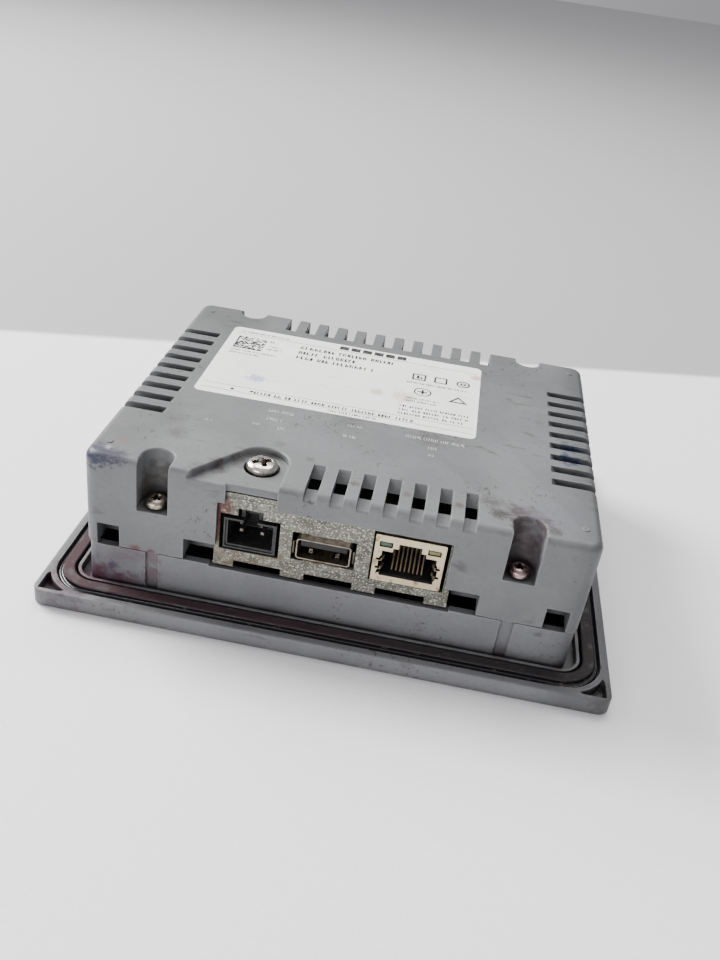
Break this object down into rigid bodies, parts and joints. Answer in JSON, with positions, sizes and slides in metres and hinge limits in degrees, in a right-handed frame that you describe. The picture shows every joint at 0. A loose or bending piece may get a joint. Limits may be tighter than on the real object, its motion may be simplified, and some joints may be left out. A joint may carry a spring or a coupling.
{
  "type": "hmi touch panel",
  "caption": "Operator touch panel for a cabinet door: rear cover with vents, screw wells, power, USB and network ports, bezel with seal, glass and keys.",
  "frame": {"origin": "middle of the bezel's front face, on the surface that the panel lies on, face down", "axes": "+X along the connector side from the power port towards the network port, -Y out of the connector side, +Z from the front face to the rear cover"},
  "size_m": [0.141, 0.116, 0.0404],
  "materials": {
    "grey_plastic": "fine moulding grain, satin, lightly scuffed",
    "dark_film": "fine matte film",
    "key_film": "satin",
    "black_rubber": "soft sheen, dusty on top",
    "clear_glass": "clear, over a dark display",
    "display_black": "dark, glossy",
    "zinc_sheet": "galvanised, speckled",
    "nickel_screw": "bright nickel",
    "jack_metal": "warm nickel plate, tarnished",
    "black_plastic": "satin",
    "white_label": "smooth foil label",
    "board_green": "solder mask",
    "gold_contact": "gold flash",
    "green_lens": "unlit",
    "yellow_lens": "unlit",
    "ribbon_white": "smooth"
  },
  "bodies": {
    "housing": {"board_screw_1": "nickel_screw", "board_screw_2": "nickel_screw", "board_screw_3": "nickel_screw", "board_screw_4": "nickel_screw", "capacitor_1": "nickel_screw", "capacitor_2": "nickel_screw", "chassis": "zinc_sheet", "chassis_screw_1": "nickel_screw", "chassis_screw_2": "nickel_screw", "chassis_screw_3": "nickel_screw", "chassis_screw_4": "nickel_screw", "cover_screw_1": "nickel_screw", "cover_screw_2": "nickel_screw", "cover_screw_3": "nickel_screw", "cover_screw_4": "nickel_screw", "display_module": "display_black", "display_ribbon": "ribbon_white", "ethernet_contacts": "gold_contact", "ethernet_insert": "black_plastic", "ethernet_shell": "jack_metal", "ethernet_transformer": "black_plastic", "front_frame": "grey_plastic", "ground_washer": "nickel_screw", "key_board": "board_green", "key_ribbon": "ribbon_white", "link_light_green": "green_lens", "link_light_yellow": "yellow_lens", "main_board": "board_green", "memory_chip": "black_plastic", "mounting_seal": "black_rubber", "overlay_film": "dark_film", "power_header": "black_plastic", "power_inductor": "black_plastic", "power_pin_minus": "nickel_screw", "power_pin_plus": "nickel_screw", "processor": "black_plastic", "rating_label": "white_label", "rear_cover": "grey_plastic", "switch_body_1": "black_plastic", "switch_body_2": "black_plastic", "switch_body_3": "black_plastic", "switch_body_4": "black_plastic", "touch_glass": "clear_glass", "usb_contact_1": "gold_contact", "usb_contact_2": "gold_contact", "usb_contact_3": "gold_contact", "usb_contact_4": "gold_contact", "usb_shell": "jack_metal", "usb_tongue": "black_plastic"},
    "key_1": {"key_cap_1": "key_film", "switch_button_1": "black_plastic"},
    "key_2": {"key_cap_2": "key_film", "switch_button_2": "black_plastic"},
    "key_3": {"key_cap_3": "key_film", "switch_button_3": "black_plastic"},
    "key_4": {"key_cap_4": "key_film", "switch_button_4": "black_plastic"},
    "ground_screw": {"ground_screw": "nickel_screw"}
  },
  "joints": [
    {"name": "key_1_press", "type": "slide", "parent": "housing", "child": "key_1", "axis": [0, 0, 1], "range_m": [0, 0.0005], "stiffness_N_per_m": 2400, "springref_m": -0.0002},
    {"name": "key_2_press", "type": "slide", "parent": "housing", "child": "key_2", "axis": [0, 0, 1], "range_m": [0, 0.0005], "stiffness_N_per_m": 2400, "springref_m": -0.0002},
    {"name": "key_3_press", "type": "slide", "parent": "housing", "child": "key_3", "axis": [0, 0, 1], "range_m": [0, 0.0005], "stiffness_N_per_m": 2400, "springref_m": -0.0002},
    {"name": "key_4_press", "type": "slide", "parent": "housing", "child": "key_4", "axis": [0, 0, 1], "range_m": [0, 0.0005], "stiffness_N_per_m": 2400, "springref_m": -0.0002},
    {"name": "ground_screw_turn", "type": "hinge", "parent": "housing", "child": "ground_screw", "pos_m": [-0.0202, -0.0384, 0.03735], "axis": [0, 0, 1], "continuous": true}
  ]
}
